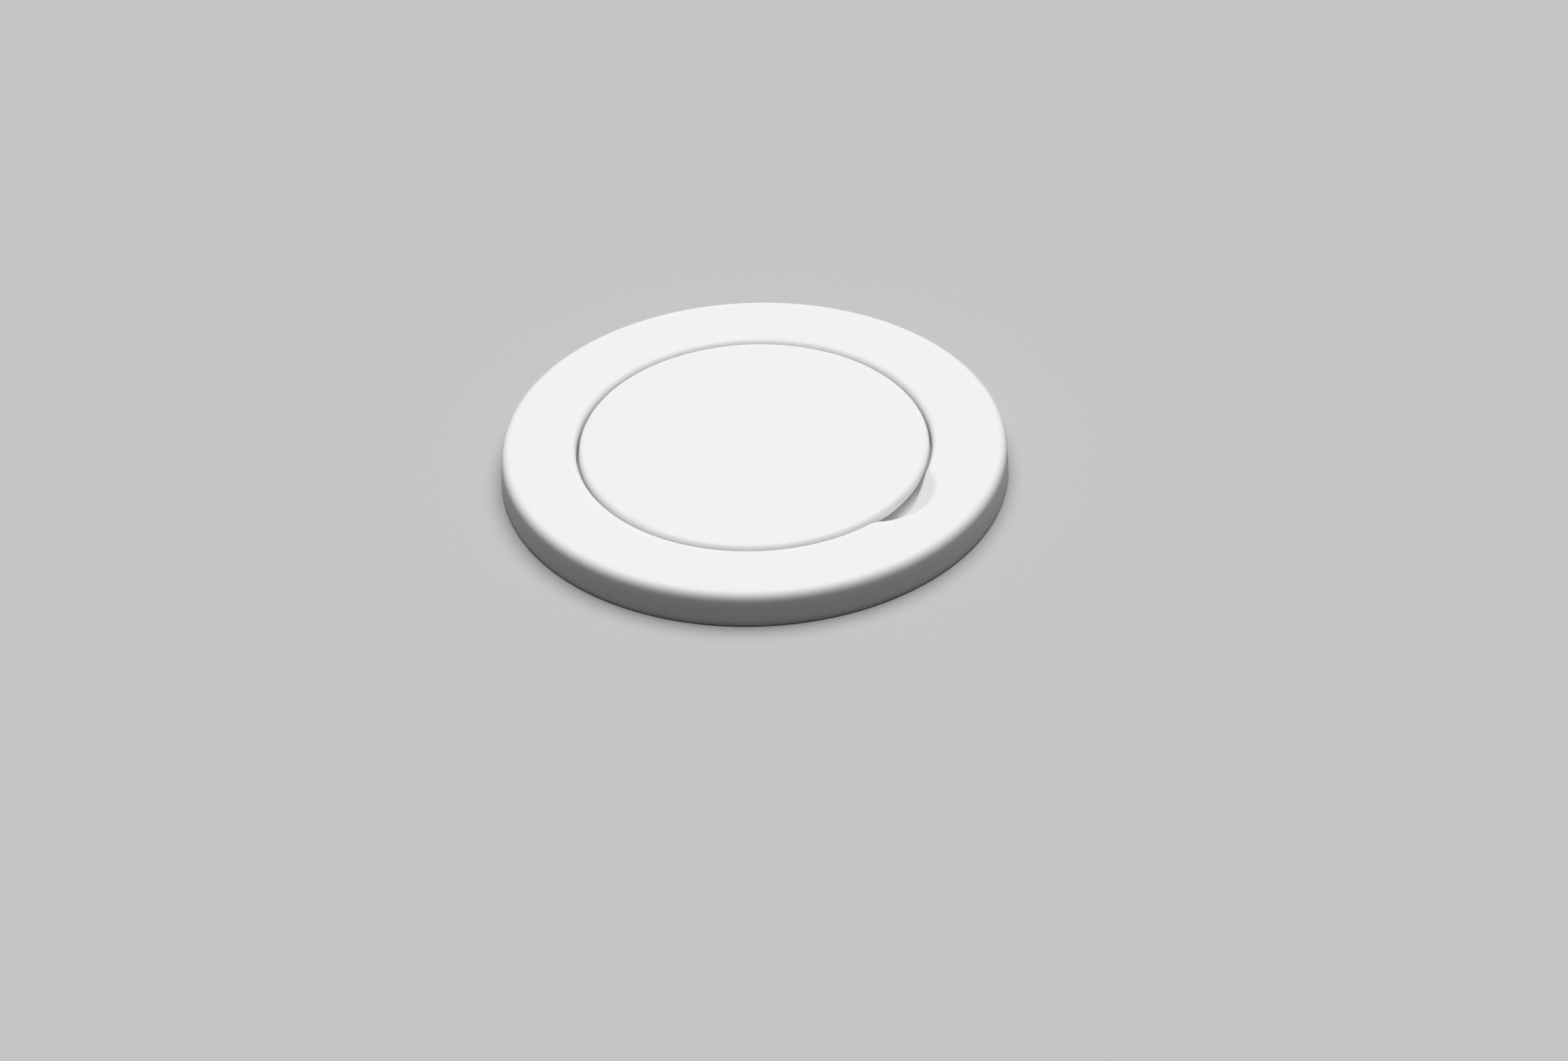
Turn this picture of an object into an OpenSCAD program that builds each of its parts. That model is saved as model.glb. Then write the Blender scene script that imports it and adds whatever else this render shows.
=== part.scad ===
// Round magnetic phone holder with a flap that hinges up out of its well.
// Lengths are millimetres. The origin is the middle of the back face, which lies on the
// phone. +Z points away from the phone and +X points at the finger scoop.

/* [Ring housing] */
// Diameter of the ring at its lower edge
ring_d = 58.84; // [57:0.01:61]
// How far the side wall leans in from its lower edge to its top
side_draft = 0.16; // [0:0.01:0.4]
// Height of the holder from its back face to the top of the ring
holder_h = 4.35; // [4.3:0.01:4.8]
// Radius of the round on the ring's outer top edge
outer_round = 1.06; // [0.6:0.01:1.2]
// Width of the ring's top, from the well to the side wall
ring_w = 8.39; // [8.2:0.01:8.8]
// Radius of the round on the edge of the well
well_round = 0.45; // [0.2:0.01:0.6]
// How far the well's wall leans in from top to bottom
well_draft = 0.12; // [0:0.01:0.2]
// Depth of the well below the top of the ring
well_depth = 2.65; // [2.6:0.01:2.8]
// Thickness of the wall between the well and the magnet channel
inner_wall = 2.13; // [1.8:0.01:2.4]
// Thickness of the ring's top over the magnet channel
top_skin = 1.4; // [1.2:0.01:1.6]
// Thickness of the outer wall at its lower edge, beside the back cover
foot_wall = 0.95; // [0.7:0.01:1.1]
// Width of the ledge that the back cover seats on
cover_ledge = 0.57; // [0.4:0.01:0.8]

/* [Finger scoop] */
// How far the scoop reaches into the ring's top from the well
scoop_bite = 2.63; // [2:0.01:3]
// Radius of the scoop's outline on the ring's top
scoop_outline = 6.96; // [6:0.02:7.6]
// Depth of the scoop at the well's wall
scoop_deep = 2.37; // [1.8:0.01:2.5]

/* [Flap] */
// Width of the gap between the flap's rim and the well
rim_gap = 0.58; // [0.54:0.01:0.7]
// How far the flap stands above the ring
flap_rise = 0.02; // [0:0.01:0.05]
// Thickness of the flap's rim
rim_t = 1.2; // [1.1:0.01:1.25]
// How much thicker the flap is over its back than at its rim
land_step = 0.09; // [0.05:0.01:0.15]
// Radius of the round on the flap's top edge
flap_round = 0.65; // [0.5:0.01:0.8]
// Radius of the round on the flap's lower edge
rim_edge = 0.2; // [0.1:0.01:0.3]
// Width of the free rim outside the flap's back
rim_w = 3.49; // [3:0.01:4.5]
// Thickness of the flap's back
back_t = 0.88; // [0.7:0.01:0.95]
// Chamfer on the lower edge of the flap's back
back_chamfer = 0.3; // [0.1:0.01:0.4]
// Distance from the hinge axis to the straight end of the flap's back
back_clear = 2; // [1.8:0.05:3]

/* [Hinge] */
// Distance of the hinge axis from the flap's edge
hinge_inset = 1.89; // [1.7:0.01:2.1]
// Diameter of the hinge pin
pin_d = 0.7; // [0.6:0.01:0.72]
// Clearance between the pin and the flap's knuckles, each side
pin_play = 0.02; // [0.01:0.005:0.05]
// Sheet thickness of the leaf on the flap
leaf_t = 0.28; // [0.22:0.01:0.28]
// Width of the hinge along its pin
hinge_w = 10.8; // [9:0.1:11]
// Length of the leaf from the hinge axis
leaf_l = 8.4; // [7.5:0.1:10]
// Sheet thickness of the bracket on the well's floor
bracket_t = 0.5; // [0.4:0.01:0.6]
// Length of the bracket from the hinge axis
bracket_l = 9.4; // [8.5:0.1:11]
// How far the bracket reaches behind the hinge axis
bracket_tail = 0.6; // [0.5:0.05:0.8]
// Width of the bracket
bracket_w = 10; // [9.4:0.1:10.6]
// Thickness of each ear that carries the pin
ear_t = 0.5; // [0.4:0.01:0.6]
// Distance from the middle of the hinge to the middle of each ear
ear_y = 2.25; // [2:0.05:2.8]
// Metal round the pin in each ear
ear_wall = 0.23; // [0.18:0.01:0.25]
// Width of each ear below its eye
ear_neck = 0.9; // [0.8:0.01:0.96]
// How far each ear spreads at its foot, towards the scoop
ear_foot = 1.5; // [1.2:0.05:1.8]
// Side clearance between the ears and the knuckles
ear_gap = 0.1; // [0.05:0.01:0.2]
// Clearance over the knuckles in the flap's trough
knuckle_play = 0.02; // [0.01:0.01:0.04]
// Clearance round the ears in the flap, over its whole swing
slot_play = 0.08; // [0.05:0.01:0.12]
// Radius of the corners of the leaf and the bracket
corner_r = 1.2; // [0.8:0.05:1.4]
// How far the flap opens, in degrees
open_deg = 50; // [40:1:50]

/* [Magnets] */
// Number of arc magnets in the ring
magnet_n = 16; // [12:1:20]
// Clearance between the magnets and each wall of their channel
magnet_play = 0.3; // [0.2:0.01:0.4]
// Gap between neighbouring magnets
magnet_gap = 0.25; // [0.15:0.01:0.6]
// Thickness of the steel ring behind the magnets
shield_t = 0.5; // [0.3:0.01:0.6]
// How far the steel ring reaches past the magnets on each side
shield_lap = 0.15; // [0.05:0.01:0.18]

/* [Back] */
// How far the soft pad stands proud of the back
pad_proud = 0.1; // [0.06:0.01:0.15]
// Thickness of the soft pad
pad_t = 0.3; // [0.25:0.01:0.4]
// Width of the back cover that shows round the soft pad
pad_rim = 1.42; // [1:0.01:3]
// Thickness of the back cover
cover_t = 0.6; // [0.55:0.01:0.65]
// Clearance round pieces that drop into a seat
seat_play = 0.05; // [0.02:0.01:0.1]
// Thickness of the well's floor over its pockets
floor_skin = 0.55; // [0.5:0.01:0.6]
// Thickness of the ribs under the well's floor
rib_t = 0.8; // [0.6:0.02:1.2]
// Number of ribs under the well's floor
rib_n = 12; // [8:1:16]
// Radius of the plain disc that the ribs start from
hub_r = 4; // [3:0.1:5]

/* [Fasteners and bumpers] */
// Diameter of a screw's shank
screw_d = 1.1; // [1:0.02:1.2]
// Diameter of a screw's head
screw_head_d = 2.4; // [2.2:0.05:2.5]
// Thickness of the flap left over the points of its screws
flap_skin = 0.6; // [0.5:0.01:0.7]
// Thickness of the floor left under the points of the bracket's screws
screw_skin = 0.2; // [0.15:0.01:0.3]
// Distance of the flap's screws from the edge of the flap's back
flap_screw_edge = 3.6; // [2.6:0.1:4.4]
// Distance of the first bracket screws from the hinge axis
bracket_screw_x = 2.6; // [2.2:0.1:3]
// Distance of the bracket's screws from its edges
bracket_screw_edge = 1.6; // [1.4:0.05:1.8]
// Length of the cross in a screw's head
cross_l = 1.24; // [1:0.02:1.4]
// Width of the cross in a screw's head
cross_w = 0.2; // [0.15:0.01:0.3]
// Depth of the cross in a screw's head
cross_deep = 0.28; // [0.2:0.01:0.32]
// Diameter of a rivet's shank
rivet_d = 0.9; // [0.8:0.02:1]
// Diameter of a rivet's head
rivet_head_d = 1.5; // [1.4:0.02:1.6]
// How far a rivet reaches into the flap
rivet_grip = 0.5; // [0.4:0.02:0.6]
// Distance of the first rivets from the hinge axis
rivet_x = 3; // [2.6:0.1:3.4]
// Distance of the rivets from the edges of the leaf
rivet_edge = 1.5; // [1.3:0.05:1.7]
// Diameter of each bumper under the flap
bumper_d = 3.2; // [2.8:0.05:3.6]
// Distance of the bumpers from the edge of the flap's back
bumper_edge = 2.9; // [2:0.1:4]
// Depth of the seat that each bumper sits in
bumper_seat = 0.2; // [0.15:0.01:0.3]
// Clearance between the bumpers and the closed flap
bumper_play = 0.02; // [0.01:0.01:0.04]

/* [Hidden] */
$fn = 160;
white = [0.94, 0.945, 0.95];
steel = [0.74, 0.75, 0.77];
nickel = [0.8, 0.79, 0.76];
grey = [0.62, 0.63, 0.64];
clear_white = [0.86, 0.87, 0.87];
past = 1;

// Heights, from the back face up
housing_z = pad_proud;
cover_top = housing_z + cover_t;
channel_top = holder_h - top_skin;
shield_z = channel_top - seat_play - shield_t;
magnet_t = shield_z - cover_top;
floor_z = holder_h - well_depth;
flap_top = holder_h + flap_rise;
rim_z = flap_top - rim_t;
land_z = rim_z - land_step;
back_z = land_z - back_t;

// Radii of the ring and its channel
ring_r = ring_d / 2;
ring_top_r = ring_r - side_draft;
well_r = ring_top_r - ring_w;
well_low_r = well_r - well_draft;
cover_r = ring_r - foot_wall - seat_play;
channel_out_r = ring_r - foot_wall - cover_ledge;
channel_in_r = well_r + inner_wall;
magnet_in_r = channel_in_r + magnet_play;
magnet_out_r = channel_out_r - magnet_play;
floor_r = well_low_r - seat_play;
pad_r = cover_r - pad_rim;
pocket_r = floor_r - rib_t;

// The scoop is part of a ball, which cuts the top in the outline and the well's wall at the depth
scoop_x = well_r + scoop_bite - scoop_outline;
scoop_wall = scoop_outline - scoop_bite;
scoop_lift = (pow(scoop_outline, 2) - pow(scoop_wall, 2) - pow(scoop_deep, 2)) / (2 * scoop_deep);
scoop_ball = sqrt(pow(scoop_lift, 2) + pow(scoop_outline, 2));

// The flap and its hinge, whose leaf lies flat under the flap
flap_r = well_r - rim_gap;
back_r = flap_r - rim_w;
land_r = back_r + seat_play;
hinge_x = flap_r - hinge_inset;
hinge_z = land_z + pin_d / 2 + pin_play;
knuckle_r = pin_d / 2 + pin_play + leaf_t;
leaf_z = land_z - leaf_t;
eye_r = pin_d / 2 + ear_wall;
slot_w = ear_t + 2 * ear_gap;
swing = open_deg + 1;
leaf_x = leaf_l - hinge_x;
bracket_x = bracket_l - hinge_x;
bracket_z = floor_z - bracket_t;

// Places and lengths of the fasteners and bumpers
flap_screw_l = flap_top - flap_skin - back_z;
bracket_screw_l = floor_z - pad_t - screw_skin;
flap_screw_r = back_r - flap_screw_edge;
flap_screw_at = [for (a = [60, 112, 248, 300]) flap_screw_r * [cos(a), sin(a)]];
bracket_screw_y = bracket_w / 2 - bracket_screw_edge;
bracket_screw_at = [
    [bracket_screw_x - hinge_x, bracket_screw_y],
    [bracket_screw_x - hinge_x, -bracket_screw_y],
    [bracket_x - bracket_screw_edge, 0]
];
rivet_y = hinge_w / 2 - rivet_edge;
rivet_at = [
    [rivet_x - hinge_x, rivet_y],
    [rivet_x - hinge_x, -rivet_y],
    [leaf_x - rivet_edge, 0]
];
bumper_r = back_r - bumper_edge;
bumper_turn = 30;
bumper_at = [for (side = [1, -1]) bumper_r * [cos(bumper_turn), side * sin(bumper_turn)]];

function two_digits(i) = str(i < 10 ? "0" : "", i);
function magnet_name(i) = str("magnet_", two_digits(i));
BUMPERS = ["bumper_left", "bumper_right"];

MAGNETS = [for (i = [1:magnet_n]) magnet_name(i)];

// Takes the corner off a profile, outside the arc of radius r about c, from angle a0 to a1
module round_off(c, r, a0, a1) {
    mid = (a0 + a1) / 2;
    far = 1.5 * r / cos((a1 - a0) / 2);
    difference() {
        polygon([
            c,
            c + r * [cos(a0), sin(a0)],
            c + far * [cos(mid), sin(mid)],
            c + r * [cos(a1), sin(a1)]
        ]);
        translate(c) circle(r);
    }
}

// A flat sheet with rounded corners, standing on height z
module slab(x0, x1, w, r, z, t) {
    translate([0, 0, z]) linear_extrude(t) {
        translate([x0, r - w / 2]) square([x1 - x0, w - 2 * r]);
        translate([x0 + r, -w / 2]) square([x1 - x0 - 2 * r, w]);
        for (x = [x0 + r, x1 - r], y = [r - w / 2, w / 2 - r]) translate([x, y]) circle(r);
    }
}

// A shape drawn in X and Z, as thick as t along Y and centred on y
module upright(y, t) {
    translate([0, y + t / 2, 0]) rotate([90, 0, 0]) linear_extrude(t) children();
}

// A round bar along the hinge axis
module along_hinge(r, l) {
    translate([-hinge_x, l / 2, hinge_z]) rotate([90, 0, 0]) cylinder(h = l, r = r);
}

// The ring's section: leaning side wall, soft outer edge and softened well edge
module ring_section() {
    outer_lean = atan(side_draft / (holder_h - housing_z));
    outer_c_z = holder_h - outer_round;
    outer_wall_x = ring_top_r + outer_round * tan(outer_lean);
    outer_c = [outer_wall_x - outer_round / cos(outer_lean), outer_c_z];
    well_lean = atan(well_draft / (holder_h - housing_z));
    well_wall_x = well_r - well_round * tan(well_lean);
    well_c = [well_wall_x + well_round / cos(well_lean), holder_h - well_round];
    difference() {
        polygon([
            [ring_r, housing_z],
            [ring_top_r, holder_h],
            [well_r, holder_h],
            [well_low_r, housing_z]
        ]);
        round_off(outer_c, outer_round, outer_lean, 90);
        round_off(well_c, well_round, 90, 180 + well_lean);
    }
}

module ring_housing() {
    color(white) difference() {
        rotate_extrude() ring_section();
        // Seat of the back cover
        translate([0, 0, housing_z - past]) cylinder(h = cover_t + past, r = cover_r + seat_play);
        // Channel that holds the magnets and the steel ring
        translate([0, 0, housing_z]) difference() {
            cylinder(h = channel_top - housing_z, r = channel_out_r);
            translate([0, 0, -past]) cylinder(h = channel_top + past, r = channel_in_r);
        }
        // Finger scoop
        translate([scoop_x, 0, holder_h + scoop_lift]) sphere(scoop_ball);
    }
}

// Pockets under the well's floor, left between its ribs and clear of the bracket
module floor_pockets() {
    pocket_top = floor_z - floor_skin;
    difference() {
        translate([0, 0, pad_t - past]) cylinder(h = pocket_top - pad_t + past, r = pocket_r);
        cylinder(h = floor_z, r = hub_r);
        for (i = [0:rib_n - 1]) rotate(i * 360 / rib_n)
            translate([0, -rib_t / 2, 0]) cube([floor_r, rib_t, floor_z]);
        slab(-floor_r, bracket_x + rib_t, bracket_w + 2 * rib_t, corner_r, 0, floor_z);
        for (p = bumper_at) translate([p.x, p.y, 0])
            cylinder(h = floor_z, d = bumper_d + 2 * rib_t);
    }
}

module back_cover() {
    color(white) difference() {
        translate([0, 0, housing_z]) union() {
            cylinder(h = cover_t, r = cover_r);
            cylinder(h = floor_z - housing_z, r = floor_r);
        }
        translate([0, 0, -past]) cylinder(h = pad_t + past, r = pad_r + seat_play);
        floor_pockets();
        slab(-hinge_x - bracket_tail - seat_play, bracket_x + seat_play,
             bracket_w + 2 * seat_play, corner_r, bracket_z, bracket_t + past);
        for (p = bracket_screw_at) translate([p.x, p.y, floor_z - bracket_screw_l - seat_play])
            cylinder(h = bracket_screw_l, d = screw_d + 2 * seat_play);
        for (p = bumper_at) translate([p.x, p.y, floor_z - bumper_seat])
            cylinder(h = bumper_seat + past, d = bumper_d + 2 * seat_play);
    }
}

module back_pad() {
    color(grey) cylinder(h = pad_t, r = pad_r);
}

module shield_ring() {
    color(steel) translate([0, 0, shield_z]) difference() {
        cylinder(h = shield_t, r = magnet_out_r + shield_lap);
        translate([0, 0, -past]) cylinder(h = shield_t + 2 * past, r = magnet_in_r - shield_lap);
    }
}

// One arc of the magnet ring, counted round from the scoop
module magnet(i) {
    pitch = 360 / magnet_n;
    color(nickel) rotate((i - 1) * pitch) translate([0, 0, cover_top]) difference() {
        cylinder(h = magnet_t, r = magnet_out_r);
        translate([0, 0, -past]) cylinder(h = magnet_t + 2 * past, r = magnet_in_r);
        for (side = [1, -1]) rotate(side * pitch / 2)
            translate([-2 * ring_r, side > 0 ? -magnet_gap / 2 : -4 * ring_r + magnet_gap / 2, -past])
                cube([4 * ring_r, 4 * ring_r, magnet_t + 2 * past]);
    }
}

// A flat-headed screw whose head is flush with z = 0 and whose point is at z = -l
module flat_screw(l) {
    head_h = (screw_head_d - screw_d) / 4;
    difference() {
        union() {
            translate([0, 0, -l]) cylinder(h = l, d = screw_d);
            translate([0, 0, -head_h]) cylinder(h = head_h, d1 = screw_d, d2 = screw_head_d);
        }
        for (a = [0, 90]) rotate(a)
            translate([-cross_l / 2, -cross_w / 2, -cross_deep]) cube([cross_l, cross_w, past]);
    }
}

// The hole that such a screw's head sits in
module screw_sink() {
    head_h = (screw_head_d - screw_d) / 4;
    translate([0, 0, -past]) cylinder(h = 2 * past, d = screw_d + 2 * seat_play);
    translate([0, 0, -head_h])
        cylinder(h = head_h, d1 = screw_d + 2 * seat_play, d2 = screw_head_d + 2 * seat_play);
}

// One ear's outline: the eye round the pin on a neck that spreads into a foot
module ear_outline() {
    difference() {
        union() {
            translate([-hinge_x, hinge_z]) circle(eye_r);
            polygon([
                [-hinge_x - ear_neck / 2, hinge_z],
                [-hinge_x + ear_neck / 2, hinge_z],
                [-hinge_x + ear_foot, floor_z],
                [-hinge_x + ear_foot, bracket_z],
                [-hinge_x - ear_neck / 2, bracket_z]
            ]);
        }
        translate([-hinge_x, hinge_z]) circle(pin_d / 2);
    }
}

module hinge_bracket() {
    color(steel) difference() {
        union() {
            slab(-hinge_x - bracket_tail, bracket_x, bracket_w, corner_r, bracket_z, bracket_t);
            for (side = [1, -1]) upright(side * ear_y, ear_t) ear_outline();
        }
        for (p = bracket_screw_at) translate([p.x, p.y, floor_z]) screw_sink();
    }
}

module bracket_screws() {
    color(nickel) for (p = bracket_screw_at) translate([p.x, p.y, floor_z])
        flat_screw(bracket_screw_l);
}

module hinge_pin() {
    color(steel) along_hinge(pin_d / 2, hinge_w);
}

module bumper(i) {
    bumper_h = back_z - bumper_play - floor_z + bumper_seat;
    color(clear_white) translate([bumper_at[i].x, bumper_at[i].y, floor_z - bumper_seat])
        cylinder(h = bumper_h, d = bumper_d);
}

// The flap's section: soft top edge, thin free rim and a thicker land inside it
module flap_section() {
    difference() {
        union() {
            translate([back_r, rim_z]) square([flap_r - back_r, rim_t]);
            translate([0, land_z]) square([land_r, flap_top - land_z]);
        }
        round_off([flap_r - flap_round, flap_top - flap_round], flap_round, 0, 90);
        round_off([flap_r - rim_edge, rim_z + rim_edge], rim_edge, -90, 0);
    }
}

// Room for the ears in the flap, over its whole swing
module ear_sweep() {
    axis = [-hinge_x, hinge_z];
    half = ear_neck / 2 + slot_play;
    reach = (hinge_z - leaf_z + 2 * half) / cos(swing);
    along = [-sin(swing), -cos(swing)];
    across = [-cos(swing), sin(swing)];
    polygon([
        axis + [half, 0],
        axis + [half, -reach],
        axis + half * across + reach * along,
        axis + half * across
    ]);
    translate(axis) circle(eye_r + slot_play);
}

module flap_cover() {
    trough_r = knuckle_r + knuckle_play;
    trough_w = hinge_w + 2 * ear_gap;
    color(white) difference() {
        rotate_extrude() flap_section();
        // Trough for the knuckles
        along_hinge(trough_r, trough_w);
        translate([-hinge_x - trough_r, -trough_w / 2, land_z - past])
            cube([2 * trough_r, trough_w, hinge_z - land_z + past]);
        for (side = [1, -1]) upright(side * ear_y, slot_w) ear_sweep();
        for (p = rivet_at) translate([p.x, p.y, land_z - past])
            cylinder(h = rivet_grip + past + seat_play, d = rivet_d + 2 * seat_play);
        for (p = flap_screw_at) translate([p.x, p.y, back_z])
            cylinder(h = flap_screw_l + seat_play, d = screw_d + 2 * seat_play);
    }
}

module flap_back() {
    color(white) difference() {
        translate([0, 0, back_z]) union() {
            cylinder(h = back_chamfer, r1 = back_r - back_chamfer, r2 = back_r);
            translate([0, 0, back_chamfer]) cylinder(h = back_t - back_chamfer, r = back_r);
        }
        // Straight end beside the hinge
        translate([-hinge_x - ring_r + back_clear, -ring_r, back_z - past])
            cube([ring_r, ring_d, back_t + 2 * past]);
        // Seat of the leaf
        slab(-hinge_x, leaf_x + seat_play, hinge_w + 2 * seat_play, corner_r, leaf_z, leaf_t + past);
        for (p = flap_screw_at) translate([p.x, p.y, back_z]) mirror([0, 0, 1]) screw_sink();
    }
}

module hinge_leaf() {
    color(steel) difference() {
        union() {
            slab(-hinge_x, leaf_x, hinge_w, corner_r, leaf_z, leaf_t);
            translate([-hinge_x, -hinge_w / 2, leaf_z]) cube([2 * corner_r, hinge_w, leaf_t]);
            along_hinge(knuckle_r, hinge_w);
        }
        along_hinge(pin_d / 2 + pin_play, hinge_w + past);
        for (side = [1, -1]) translate([-hinge_x - past, side * ear_y - slot_w / 2, leaf_z - past])
            cube([past + knuckle_r + ear_neck / 2, slot_w, 2 * knuckle_r + 2 * past]);
        for (p = rivet_at) translate([p.x, p.y, leaf_z]) rivet_body(seat_play);
    }
}

// A rivet from its flush head at z = 0 up into the flap, grown all round by play
module rivet_body(play) {
    cylinder(h = leaf_t, d1 = rivet_head_d + 2 * play, d2 = rivet_d + 2 * play);
    cylinder(h = leaf_t + rivet_grip, d = rivet_d + 2 * play);
}

module leaf_rivets() {
    color(nickel) for (p = rivet_at) translate([p.x, p.y, leaf_z]) rivet_body(0);
}

module flap_screws() {
    color(nickel) for (p = flap_screw_at) translate([p.x, p.y, back_z])
        mirror([0, 0, 1]) flat_screw(flap_screw_l);
}

ring_housing();
back_cover();
back_pad();
shield_ring();
for (i = [1:magnet_n]) magnet(i);
hinge_bracket();
bracket_screws();
hinge_pin();
for (i = [0, 1]) bumper(i);
flap_cover();
flap_back();
hinge_leaf();
leaf_rivets();
flap_screws();
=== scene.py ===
# %% [markdown]
# # A round magnetic holder with a fold-out flap
# The real thing is a flat white ring, moulded in plastic, that clings to the back of a phone. A
# disc-shaped flap lies flush in the ring's well and hinges up as a stand or a finger grip. A
# scoop in the ring's inner edge lets a nail get under the flap.
#
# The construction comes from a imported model, which is loaded first and is never moved. This
# script adds what the eye wants: the camera, the light, the finish of every surface, and one
# finely modelled moulding in place of the plain ring.

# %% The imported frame
import math

import bpy
import numpy as np
from mathutils import Matrix, Vector


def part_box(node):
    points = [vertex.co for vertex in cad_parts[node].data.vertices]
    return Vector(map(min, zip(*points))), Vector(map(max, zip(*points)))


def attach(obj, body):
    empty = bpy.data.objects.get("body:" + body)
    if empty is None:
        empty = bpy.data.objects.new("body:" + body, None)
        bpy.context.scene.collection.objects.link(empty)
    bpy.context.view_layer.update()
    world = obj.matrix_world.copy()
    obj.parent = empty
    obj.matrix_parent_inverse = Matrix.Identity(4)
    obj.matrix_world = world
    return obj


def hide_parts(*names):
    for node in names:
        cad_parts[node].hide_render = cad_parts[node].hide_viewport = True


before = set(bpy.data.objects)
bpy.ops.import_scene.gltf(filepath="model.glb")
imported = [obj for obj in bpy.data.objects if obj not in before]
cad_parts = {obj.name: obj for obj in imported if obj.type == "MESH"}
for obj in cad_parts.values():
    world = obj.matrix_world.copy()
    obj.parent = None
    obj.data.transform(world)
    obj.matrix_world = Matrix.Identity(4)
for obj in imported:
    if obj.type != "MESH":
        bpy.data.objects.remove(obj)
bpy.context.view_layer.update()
MM = 0.001


def reach_of(node):
    """How far a node of the frame reaches from the Z axis along X, in millimetres."""
    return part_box(node)[1][0] / MM


def foot_of(node):
    """The height of a node's lowest point, in millimetres."""
    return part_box(node)[0][2] / MM


def top_of(node):
    """The height of a node's highest point, in millimetres."""
    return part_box(node)[1][2] / MM


# %% [markdown]
# ## The camera
# The photograph looks down on the holder from the front and the right, through a long lens. The
# ring's two circles, its height and the scoop's place give the camera's place, so the values
# below are distances in millimetres from the middle of the holder's back. A long lens far away
# is used, and not a short one nearby, because the ring's ellipse hardly widens towards us.

# %% Camera
CAMERA_AT = Vector((327.41, -487.11, 425.91))
AIMED_AT = Vector((8.943, -7.754, 0.0))
CAMERA_ROLL = math.radians(-1.80)
LENS = 143.38
SENSOR = 36.0
NEAREST = 0.01


def make_camera():
    """Looks from CAMERA_AT to AIMED_AT, then rolls about the line of sight."""
    data = bpy.data.cameras.new("camera")
    data.lens = LENS
    data.sensor_width = SENSOR
    data.clip_start = NEAREST
    camera = bpy.data.objects.new("camera", data)
    turn = (AIMED_AT - CAMERA_AT).to_track_quat("-Z", "Y").to_matrix().to_4x4()
    roll = Matrix.Rotation(CAMERA_ROLL, 4, "Z")
    camera.matrix_world = Matrix.Translation(CAMERA_AT * MM) @ turn @ roll
    bpy.context.scene.collection.objects.link(camera)
    bpy.context.scene.camera = camera


make_camera()
bpy.context.scene.view_settings.view_transform = "Standard"
print("camera distance in mm:", round((CAMERA_AT - AIMED_AT).length, 1))

# %% [markdown]
# ## Arithmetic on sockets
# A finish is a small calculation that runs at every point of a surface. Blender draws it as
# nodes and wires. Here an output socket is wrapped in a class that knows plus and times, so that
# a calculation can be written as a line of Python and still become Math nodes.
#
# The Mix node has a set of sockets for numbers, one for vectors and one for colours, under the
# same names. The colours' sockets are found by their places in the row.

# %% Wires and graphs
MIX_FIRST = 6
MIX_SECOND = 7
MIX_RESULT = 2


class Wire:
    """An output socket with arithmetic: each operator adds one Math node behind it."""

    def __init__(self, graph, socket):
        self.graph = graph
        self.socket = socket

    def math(self, operation, left, right):
        return self.graph.node("ShaderNodeMath", {"operation": operation}, {0: left, 1: right})

    def __add__(self, other):
        return self.math("ADD", self, other)

    def __mul__(self, other):
        return self.math("MULTIPLY", self, other)

    __radd__ = __add__
    __rmul__ = __mul__


class Graph:
    """The node tree of a material or of the world, emptied at first."""

    def __init__(self, owner):
        owner.use_nodes = True
        self.owner = owner
        self.tree = owner.node_tree
        self.tree.nodes.clear()

    def node(self, kind, settings, inputs, output=0):
        """Adds a node, sets its settings, then fills its sockets with values or wires."""
        made = self.tree.nodes.new(kind)
        for name, value in settings.items():
            setattr(made, name, value)
        for key, value in inputs.items():
            if isinstance(value, Wire):
                self.tree.links.new(value.socket, made.inputs[key])
            else:
                made.inputs[key].default_value = value
        return Wire(self, made.outputs[output]) if len(made.outputs) else None

    def place(self, stretch=(1.0, 1.0, 1.0)):
        """The point on the object in metres, stretched along X, Y and Z."""
        here = self.node("ShaderNodeTexCoord", {}, {}, "Object")
        sockets = {"Vector": here, "Scale": stretch}
        return self.node("ShaderNodeMapping", {"vector_type": "POINT"}, sockets)

    def noise(self, place, grain, detail=2.0):
        """Soft noise from 0 to 1, with blobs about as wide as grain, in millimetres."""
        sockets = {"Vector": place, "Scale": 1 / (grain * MM), "Detail": detail}
        return self.node("ShaderNodeTexNoise", {"noise_dimensions": "3D"}, sockets)

    def blend(self, share, first, second):
        """The colour first where share is 0, and second where it is 1."""
        colours = {"Factor": share, MIX_FIRST: (*first, 1.0), MIX_SECOND: (*second, 1.0)}
        return self.node("ShaderNodeMix", {"data_type": "RGBA"}, colours, MIX_RESULT)

    def relief(self, height, depth):
        """A normal that follows height, where a height of 1 stands depth millimetres proud."""
        sockets = {"Height": height, "Strength": 1.0, "Distance": depth * MM}
        return self.node("ShaderNodeBump", {}, sockets)


print("a wire knows:", Wire.__add__.__name__, Wire.__mul__.__name__)

# %% [markdown]
# ## Light, floor and background
# The photograph was taken under a broad, soft light from above: the tops are an even white, and
# the side wall falls off to grey within a millimetre below its round edge. A sun with a very
# wide disc gives just that, and gives it evenly over the whole floor, which an area lamp over
# the object would not.
#
# The wall is dark because the surface under the holder sends little light back up to it. So the
# floor is pale to the camera and to mirror-like reflections, but sends back less light to what
# stands on it. Light Path tells these rays apart.
#
# Light that falls into a narrow white slit is thrown from wall to wall many times before it comes
# out again. With Blender's usual 4 diffuse bounces the slit would look like grey plastic, so the
# scene allows more.

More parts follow.
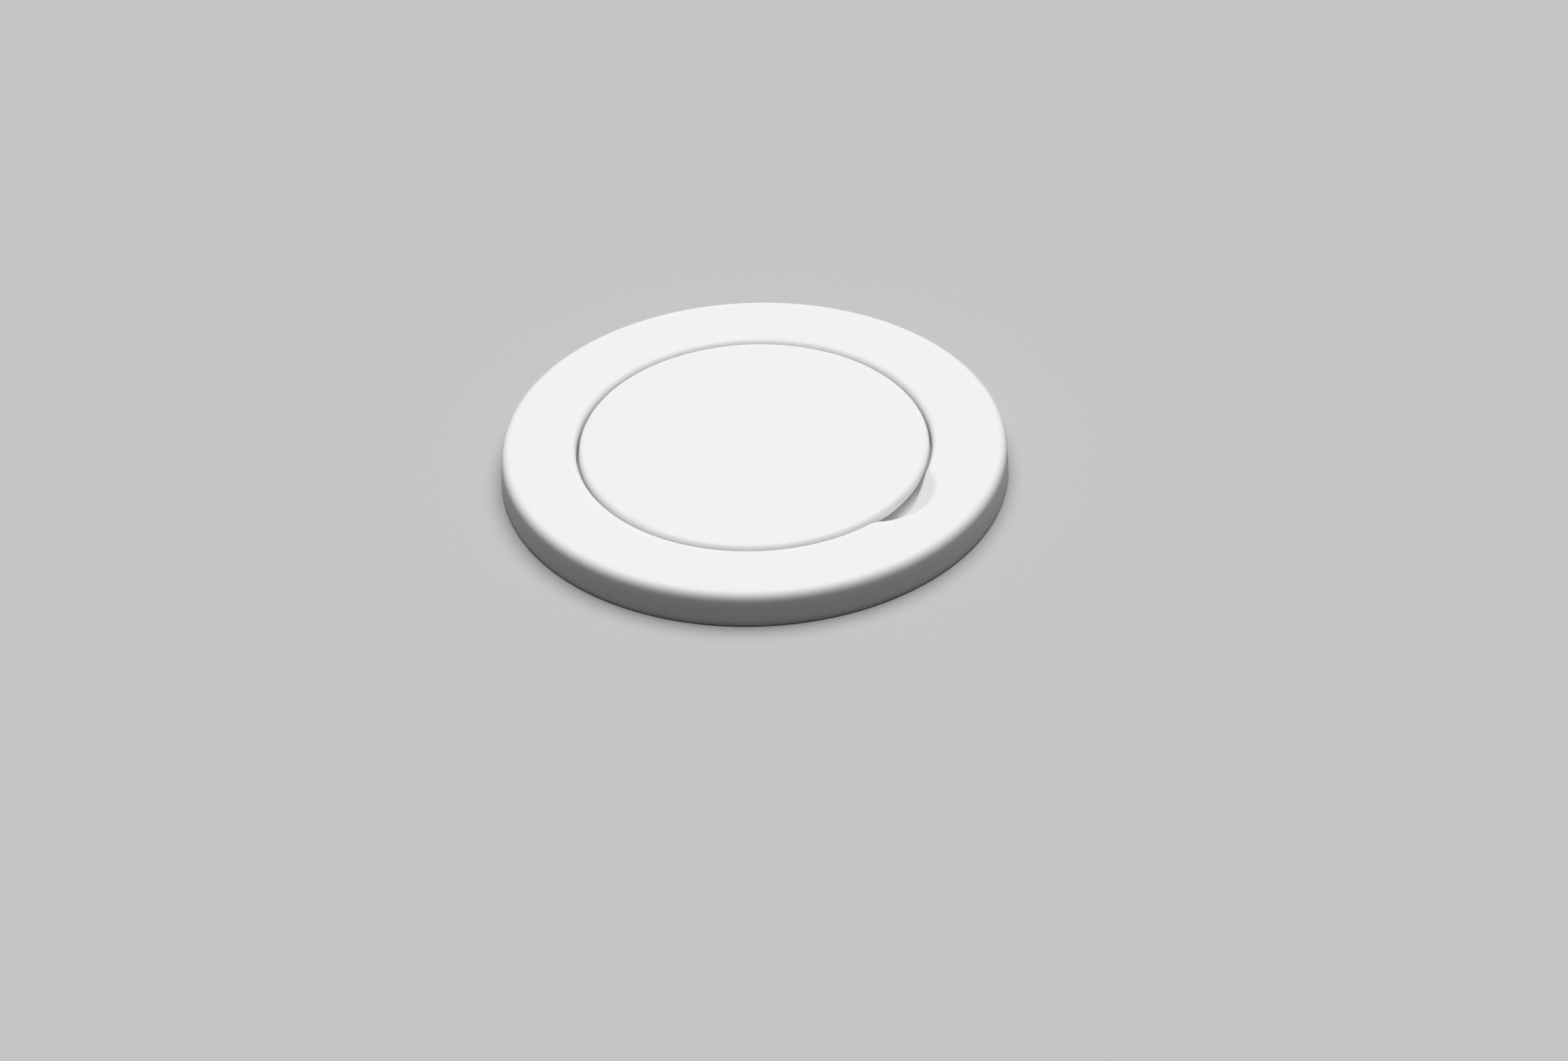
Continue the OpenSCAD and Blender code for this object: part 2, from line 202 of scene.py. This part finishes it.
# %% World, sun and floor
BOUNCES = 16
SUN_WIDTH = math.radians(62)
SUN_STRENGTH = 2.64
SUN_TINT = (0.984, 0.992, 1.0)
SUN_FROM = Vector((-0.08, 0.20, 1.0))
SKY_GLOW = 0.12
FLOOR_SIZE = 6.0
FLOOR_PALE = (0.60, 0.60, 0.605)
FLOOR_BOUNCE = (0.03, 0.03, 0.031)


def seen_directly(graph):
    """1 for rays of the camera, of mirror-like reflection and of transmission, otherwise 0."""
    seen = [graph.node("ShaderNodeLightPath", {}, {}, name)
            for name in ("Is Camera Ray", "Is Glossy Ray", "Is Transmission Ray")]
    return graph.node("ShaderNodeMath", {"operation": "ADD", "use_clamp": True},
                      {0: seen[0] + seen[1], 1: seen[2]})


def make_world():
    """A white surround to look at, which lights the object only a little."""
    world = bpy.data.worlds.new("studio")
    bpy.context.scene.world = world
    graph = Graph(world)
    glow = SKY_GLOW + seen_directly(graph) * (1.0 - SKY_GLOW)
    white = (1.0, 1.0, 1.0, 1.0)
    shader = graph.node("ShaderNodeBackground", {}, {"Color": white, "Strength": glow})
    graph.node("ShaderNodeOutputWorld", {}, {"Surface": shader})


def make_sun():
    """One lamp whose wide disc in the sky makes soft, even shadows."""
    data = bpy.data.lights.new("sun", "SUN")
    data.energy = SUN_STRENGTH
    data.color = SUN_TINT
    data.angle = SUN_WIDTH
    sun = bpy.data.objects.new("sun", data)
    sun.matrix_world = SUN_FROM.to_track_quat("Z", "Y").to_matrix().to_4x4()
    bpy.context.scene.collection.objects.link(sun)


def make_floor():
    """A plain pale floor under the holder's back."""
    half = FLOOR_SIZE / 2
    mesh = bpy.data.meshes.new("floor")
    corners = [(-half, -half, 0.0), (half, -half, 0.0), (half, half, 0.0), (-half, half, 0.0)]
    mesh.from_pydata(corners, [], [(0, 1, 2, 3)])
    floor = bpy.data.objects.new("floor", mesh)
    bpy.context.scene.collection.objects.link(floor)
    material = bpy.data.materials.new("pale_floor")
    graph = Graph(material)
    colour = graph.blend(seen_directly(graph), FLOOR_BOUNCE, FLOOR_PALE)
    shader = graph.node("ShaderNodeBsdfDiffuse", {}, {"Color": colour})
    graph.node("ShaderNodeOutputMaterial", {}, {"Surface": shader})
    mesh.materials.append(material)


make_world()
make_sun()
make_floor()
bpy.context.scene.cycles.diffuse_bounces = BOUNCES
bpy.context.scene.cycles.max_bounces = BOUNCES
print("sun", round(math.degrees(SUN_WIDTH)), "degrees wide, floor", FLOOR_SIZE, "m wide")

# %% [markdown]
# ## Finishes
# Every finish is made in the same way: one or two kinds of solid noise mix two shades of a
# colour, change the gloss a little, and raise a relief.
#
# Moulded plastic isn't one flat colour. The tool's steel was spark-eroded, which leaves a very
# fine, even pebble on the skin, and the skin is a shade more or less glossy where the melt
# cooled faster. So each plastic gets a fine relief, and a slow change of tone and of gloss.
# Noise on the object's own coordinates does it without a seam, because it is solid: a point
# inside the wall has a value too.

# %% A finish from a graph


def finish_material(colour, roughness, normal, **constants):
    """A material with one Principled shader. Colour, roughness and normal vary, the rest don't."""
    graph = colour.graph
    sockets = {"Base Color": colour, "Roughness": roughness, "Normal": normal, **constants}
    shader = graph.node("ShaderNodeBsdfPrincipled", {}, sockets)
    graph.node("ShaderNodeOutputMaterial", {}, {"Surface": shader})
    print("finish:", graph.owner.name, "with", len(graph.tree.nodes), "nodes")
    return graph.owner


def new_graph(name):
    return Graph(bpy.data.materials.new(name))


# %% [markdown]
# White plastic isn't opaque. Light enters it, wanders and comes out up to a millimetre away, red
# light a little farther than blue, which softens edges and lightens slits. The flap has a skin
# of a quarter of a millimetre over its hinge. If light wandered as far in it as in the thick
# ring, the hollow behind that skin would show as a smear, so it has a shorter way.

# %% White mouldings
SHELL_LIGHT = (0.914, 0.913, 0.915)
SHELL_DEEP = (0.896, 0.894, 0.895)
INNER_LIGHT = (0.905, 0.902, 0.900)
INNER_DEEP = (0.885, 0.882, 0.880)
SHELL_GLOSS = 0.50
INNER_GLOSS = 0.42
PEBBLE = 0.16
SHELL_PEBBLE_DEPTH = 0.004
INNER_PEBBLE_DEPTH = 0.002
PEBBLE_TONE = 0.4
PEBBLE_GLOSS = 0.08
CLOUD = 9.0
CLOUD_TONE = 0.6
CLOUD_GLOSS = 0.06
GLOW_REACH = (1.0, 0.90, 0.85)
THICK_GLOW = 1.0
THIN_GLOW = 0.3


def moulded_plastic(name, shades, gloss, pebble_depth, glow):
    """Plastic with an eroded skin, in which light wanders for about glow millimetres."""
    graph = new_graph(name)
    place = graph.place()
    pebble = graph.noise(place, PEBBLE)
    cloud = graph.noise(place, CLOUD)
    colour = graph.blend(cloud * CLOUD_TONE + pebble * PEBBLE_TONE, *shades)
    roughness = gloss + cloud * CLOUD_GLOSS + pebble * PEBBLE_GLOSS
    normal = graph.relief(pebble, pebble_depth)
    wander = {"Subsurface Weight": 1.0, "Subsurface Radius": GLOW_REACH}
    wander["Subsurface Scale"] = glow * MM
    return finish_material(colour, roughness, normal, **wander)


shell = ((SHELL_LIGHT, SHELL_DEEP), SHELL_GLOSS, SHELL_PEBBLE_DEPTH)
inner = ((INNER_LIGHT, INNER_DEEP), INNER_GLOSS, INNER_PEBBLE_DEPTH)
ring_white = moulded_plastic("ring_moulding_white", *shell, THICK_GLOW)
flap_white = moulded_plastic("flap_moulding_white", *shell, THIN_GLOW)
inner_white = moulded_plastic("inner_moulding", *inner, THIN_GLOW)

# %% [markdown]
# The soft parts are silicone: the pad that grips the phone is a matte grey, and the bumpers under
# the flap are paler. Silicone has a satin skin with very slight waves.

# %% Silicone
PAD_LIGHT = (0.440, 0.445, 0.455)
PAD_DEEP = (0.390, 0.395, 0.405)
BUMPER_LIGHT = (0.640, 0.645, 0.650)
BUMPER_DEEP = (0.580, 0.585, 0.590)
PAD_GLOSS = 0.62
BUMPER_GLOSS = 0.45
SKIN_WAVE = 1.4
SKIN_DOT = 0.3
SKIN_DEPTH = 0.008
DOT_GLOSS = 0.12


def silicone(name, light, deep, gloss):
    """Rubber with fine dots and slow waves in its skin, half and half."""
    graph = new_graph(name)
    place = graph.place()
    wave = graph.noise(place, SKIN_WAVE, detail=3.0)
    dot = graph.noise(place, SKIN_DOT)
    colour = graph.blend(wave * 0.5 + dot * 0.5, light, deep)
    roughness = gloss + dot * DOT_GLOSS
    normal = graph.relief(wave * 0.5 + dot * 0.5, SKIN_DEPTH)
    return finish_material(colour, roughness, normal)


soft_pad = silicone("grey_silicone", PAD_LIGHT, PAD_DEEP, PAD_GLOSS)
bumper_rubber = silicone("pale_silicone", BUMPER_LIGHT, BUMPER_DEEP, BUMPER_GLOSS)

# %% [markdown]
# The metals differ in how they were made. Rolled sheet has fine streaks along its rolling
# direction, so its noise is slowed down along X. Plated magnets and screws are smooth, with a
# faint mottle.

# %% Metals
SHEET_LIGHT = (0.640, 0.645, 0.655)
SHEET_DEEP = (0.480, 0.485, 0.495)
NICKEL_LIGHT = (0.720, 0.700, 0.650)
NICKEL_DEEP = (0.600, 0.580, 0.530)
ZINC_LIGHT = (0.560, 0.570, 0.590)
ZINC_DEEP = (0.420, 0.430, 0.450)
SHEET_GLOSS = 0.24
NICKEL_GLOSS = 0.16
ZINC_GLOSS = 0.22
STREAK = 0.12
STREAK_DEPTH = 0.002
STREAK_TONE = 0.6
STREAK_GLOSS = 0.14
MOTTLE = 0.5
MOTTLE_TONE = 0.4
MOTTLE_GLOSS = 0.06
ROLLED = (0.06, 1.0, 1.0)
EVEN = (1.0, 1.0, 1.0)


def metal(name, light, deep, gloss, stretch):
    """Bare or plated metal, whose grain runs along the axis with the smallest stretch."""
    graph = new_graph(name)
    grain = graph.noise(graph.place(stretch), STREAK, detail=4.0)
    mottle = graph.noise(graph.place(), MOTTLE)
    colour = graph.blend(grain * STREAK_TONE + mottle * MOTTLE_TONE, light, deep)
    roughness = gloss + grain * STREAK_GLOSS + mottle * MOTTLE_GLOSS
    normal = graph.relief(grain, STREAK_DEPTH)
    return finish_material(colour, roughness, normal, Metallic=1.0)


rolled_steel = metal("rolled_steel", SHEET_LIGHT, SHEET_DEEP, SHEET_GLOSS, ROLLED)
nickel_plate = metal("nickel_plate", NICKEL_LIGHT, NICKEL_DEEP, NICKEL_GLOSS, EVEN)
zinc_plate = metal("zinc_plate", ZINC_LIGHT, ZINC_DEEP, ZINC_GLOSS, EVEN)

# %% [markdown]
# ## Shapes that are turned
# The ring is a section that goes round the Z axis. A section is an array of points in radius and
# height, and turning it gives a grid of points, one row for each angle. Lathe tools could spin
# the same line, but a grid of numbers can be bent further afterwards, which the scoop needs.

# %% Sections and grids
EDGE_ANGLE = math.radians(30)


def arc(middle, radius, start, end, count):
    """Points middle + radius · (cos t, sin t), with t from start to end in degrees."""
    t = np.radians(np.linspace(start, end, count))
    return np.array(middle) + radius * np.column_stack([np.cos(t), np.sin(t)])


def line(start, end, count):
    """Points start + t · (end − start), with t from 0 to 1 and both ends left out."""
    t = np.linspace(0, 1, count + 2)[1:-1, None]
    return (1 - t) * np.array(start) + t * np.array(end)


def turned(section, angles):
    """The grid (r cos a, r sin a, z), with a row for each angle a and a column for each (r, z)."""
    r, z = section.T
    return np.stack([np.outer(np.cos(angles), r), np.outer(np.sin(angles), r),
                     np.tile(z, (len(angles), 1))], axis=-1)


def closed_grid_faces(rows, columns):
    """Four-sided faces of a grid that closes both ways, by the numbers of their corners."""
    row, column = np.meshgrid(np.arange(rows), np.arange(columns), indexing="ij")
    next_row = (row + 1) % rows
    next_column = (column + 1) % columns
    corners = [row * columns + column, next_row * columns + column,
               next_row * columns + next_column, row * columns + next_column]
    return np.stack(corners, axis=-1).reshape(-1, 4)


def add_piece(name, points, faces, material):
    """A mesh object at the origin from points in millimetres, smooth apart from its sharp edges."""
    mesh = bpy.data.meshes.new(name)
    mesh.from_pydata(points.reshape(-1, 3) * MM, [], faces)
    mesh.shade_smooth()
    mesh.set_sharp_from_angle(angle=EDGE_ANGLE)
    mesh.materials.append(material)
    piece = bpy.data.objects.new(name, mesh)
    bpy.context.scene.collection.objects.link(piece)
    print(name, "has", len(mesh.polygons), "faces")
    return piece


# %% [markdown]
# ## The ring's moulding
# Its section starts at the foot, climbs the slightly leaning wall, rolls over the soft outer edge,
# crosses the flat top and dips into the well. Underneath it is open: a ledge seats the back
# cover, and a channel holds the magnets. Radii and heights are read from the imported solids, and
# the draft angles and rounds are the moulding's own.

# %% The ring's section
SIDE_DRAFT = 0.16
OUTER_ROUND = 1.06
WELL_ROUND = 0.63
WELL_DRAFT = 0.12
RIM_GAP = 0.37
INNER_WALL = 2.34
SEAT_PLAY = 0.05
SHIELD_PLAY = 0.15
FOOT_EDGE = 0.06
FOOT_STEPS = 5
OUTER_STEPS = 17
WELL_STEPS = 11
FINE = 0.07

RING_R = reach_of("ring_housing")
RING_FOOT = foot_of("ring_housing")
RING_TOP = top_of("ring_housing")
WELL_R = reach_of("flap_cover") + RIM_GAP


def ring_section(scoop_reach, scoop_floor):
    """The closed section, counterclockwise, with fine steps from scoop_reach to scoop_floor."""
    height = RING_TOP - RING_FOOT
    lean = math.atan(SIDE_DRAFT / height)
    top_r = RING_R - SIDE_DRAFT
    outer_r = top_r + OUTER_ROUND * (math.tan(lean) - 1 / math.cos(lean))
    outer = (outer_r, RING_TOP - OUTER_ROUND)
    well_lean = math.atan(WELL_DRAFT / height)
    well_r = WELL_R + WELL_ROUND * (1 / math.cos(well_lean) - math.tan(well_lean))
    well = (well_r, RING_TOP - WELL_ROUND)
    cover_top = foot_of("magnet_01")
    well_foot = (WELL_R - WELL_DRAFT * (RING_TOP - cover_top) / height, cover_top)
    channel_in = WELL_R + INNER_WALL
    channel_out = reach_of("shield_ring") + SHIELD_PLAY
    channel_top = top_of("shield_ring") + SEAT_PLAY
    seat_r = reach_of("back_cover") + SEAT_PLAY
    foot = (RING_R - FOOT_EDGE, RING_FOOT + FOOT_EDGE)
    foot_arc = arc(foot, FOOT_EDGE, -90, math.degrees(lean), FOOT_STEPS)
    outer_arc = arc(outer, OUTER_ROUND, math.degrees(lean), 90, OUTER_STEPS)
    well_arc = arc(well, WELL_ROUND, 90, 180 + math.degrees(well_lean), WELL_STEPS)
    turning = (scoop_reach, RING_TOP)
    lip = (well_arc[-1, 0], scoop_floor)
    corners = np.array([
        well_foot, (channel_in, cover_top), (channel_in, channel_top), (channel_out, channel_top),
        (channel_out, cover_top), (seat_r, cover_top), (seat_r, RING_FOOT)
    ])
    fine_top = int((scoop_reach - well_r) / FINE)
    fine_wall = int((well_arc[-1, 1] - scoop_floor) / FINE)
    return np.vstack([
        foot_arc, line(foot_arc[-1], outer_arc[0], 4), outer_arc, line(outer_arc[-1], turning, 3),
        line(turning, well_arc[0], fine_top), well_arc, line(well_arc[-1], lip, fine_wall),
        line(lip, well_foot, 2), corners
    ])


# %% [markdown]
# ## The finger scoop
# The scoop is the print of a blunt, slightly rounded cone that stands on its tip in the ring's
# inner edge, so its floor slopes down to the well at nearly one angle and looks evenly white.
# The cone is described by a power: reach^p + drop^p is 1 on its skin, where p is 2 for a ball, 1
# for a straight cone, and a little over 1 for this one.
#
# Each point of the turned grid that lies in the cone is pushed out of it, along the ray from a
# point high above the ring, so it lands on the cone's skin. The plain rule is: take the larger of
# the point's size and the cone's. A smooth maximum takes its place, and that gives the dish its
# soft outline, which a sharp cut with a Boolean modifier would need a bevel for.

# %% Ring with its scoop
SCOOP_BITE = 2.84
SCOOP_OUTLINE = 6.96
SCOOP_DEEP = 2.37
SCOOP_LIFT = 30.0
SCOOP_POWER = 1.2
SCOOP_SOFT = 0.010
SCOOP_MARGIN = 0.5
SCOOP_SPAN = math.radians(20)
SCOOP_STEPS = 290
PLAIN_STEPS = 400


def scoop_cone():
    """Middle, width and height of the rounded cone (reach / width)^p + (drop / height)^p = 1.

    The middle lies SCOOP_LIFT above the ring. The cone meets the ring's top in the outline, and
    the well's wall at the depth, which gives two equations for width^-p and height^-p.
    """
    wall = SCOOP_OUTLINE - SCOOP_BITE
    meets = np.array([(SCOOP_OUTLINE, SCOOP_LIFT), (wall, SCOOP_LIFT + SCOOP_DEEP)]) ** SCOOP_POWER
    width, height = np.linalg.solve(meets, np.ones(2)) ** (-1 / SCOOP_POWER)
    middle = np.array([WELL_R + SCOOP_BITE - SCOOP_OUTLINE, 0.0, RING_TOP + SCOOP_LIFT])
    return middle, width, height


def smooth_max(a, b, soft):
    """The larger of a and b, with a parabola over the stretch where they differ by under soft."""
    share = np.clip(0.5 + 0.5 * (a - b) / soft, 0, 1)
    return a * share + b * (1 - share) + soft * share * (1 - share)


def pushed_out(points, middle, width, height):
    """Each point at middle + (p − middle) · smooth_max(size, 1) / size.

    The size of a point is ((reach / width)^p + (drop / height)^p)^(1/p), which is 1 on the cone.
    """
    away = points - middle
    reach = np.hypot(away[..., 0], away[..., 1]) / width
    drop = np.abs(away[..., 2]) / height
    size = (reach ** SCOOP_POWER + drop ** SCOOP_POWER) ** (1 / SCOOP_POWER)
    push = smooth_max(size, 1, SCOOP_SOFT) / size
    return middle + away * push[..., None]


def make_ring():
    """The turned section, with more rows across the scoop, pushed out of the scoop's cone."""
    section = ring_section(WELL_R + SCOOP_BITE + SCOOP_MARGIN, RING_TOP - SCOOP_DEEP - SCOOP_MARGIN)
    across = np.linspace(-SCOOP_SPAN, SCOOP_SPAN, SCOOP_STEPS)
    around = np.linspace(SCOOP_SPAN, 2 * math.pi - SCOOP_SPAN, PLAIN_STEPS + 1)[1:-1]
    grid = turned(section, np.concatenate([across, around]))
    grid = pushed_out(grid, *scoop_cone())
    faces = closed_grid_faces(*grid.shape[:2])
    ring = add_piece("ring_moulding", grid, faces, ring_white)
    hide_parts("ring_housing")
    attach(ring, "base")


make_ring()

# %% [markdown]
# ## Finishes for the pieces of the frame
# The other pieces are right as they come from the frame: small stampings, pins, screws and
# plain discs, with true round surfaces. Each gets its finish by name.

# %% Finish by node
NODE_FINISH = {
    "ring_housing": ring_white,
    "flap_cover": flap_white,
    "flap_back": inner_white,
    "back_cover": inner_white,
    "back_pad": soft_pad,
    "bumper_left": bumper_rubber,
    "bumper_right": bumper_rubber,
    "shield_ring": rolled_steel,
    "hinge_bracket": rolled_steel,
    "hinge_leaf": rolled_steel,
    "hinge_pin": rolled_steel,
    "bracket_screws": zinc_plate,
    "flap_screws": zinc_plate,
    "leaf_rivets": zinc_plate,
}


def dress_nodes():
    """Gives every node of the frame one material, in place of what it came with."""
    for name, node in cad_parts.items():
        node.data.materials.clear()
        node.data.materials.append(NODE_FINISH.get(name, nickel_plate))


dress_nodes()
plated = [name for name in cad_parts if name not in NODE_FINISH]
print("plated in nickel:", ", ".join(plated))
